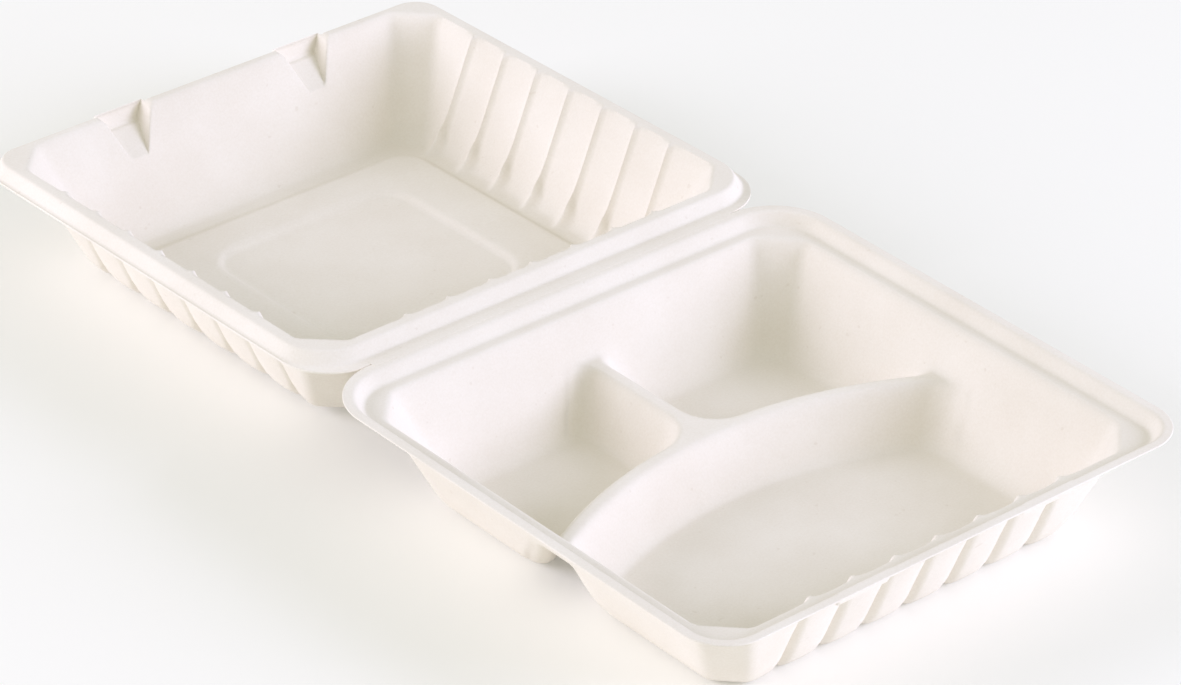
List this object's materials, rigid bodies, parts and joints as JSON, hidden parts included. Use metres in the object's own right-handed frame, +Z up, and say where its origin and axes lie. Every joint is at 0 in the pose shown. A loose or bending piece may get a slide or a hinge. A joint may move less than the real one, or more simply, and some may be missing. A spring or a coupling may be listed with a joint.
{
  "type": "bagasse meal box",
  "caption": "Hinged takeaway meal box moulded in one sheet of bagasse pulp, with a divided tray, fluted walls and a lid that folds over and nests in the tray's rim.",
  "frame": {"origin": "bottom centre of the open box, on the table", "axes": "+X along the fold, +Y from the tray towards the lid, +Z up"},
  "size_m": [0.23, 0.4396, 0.0501],
  "materials": {
    "pulp": "matte moulded fibre"
  },
  "bodies": {
    "tray": {"base_tray": "pulp"},
    "lid": {"lid": "pulp"}
  },
  "joints": [
    {"name": "lid_fold", "type": "hinge", "parent": "tray", "child": "lid", "pos_m": [0, 0.00173, 0.04535], "axis": [1, 0, 0], "range_deg": [0, 181.2]}
  ]
}
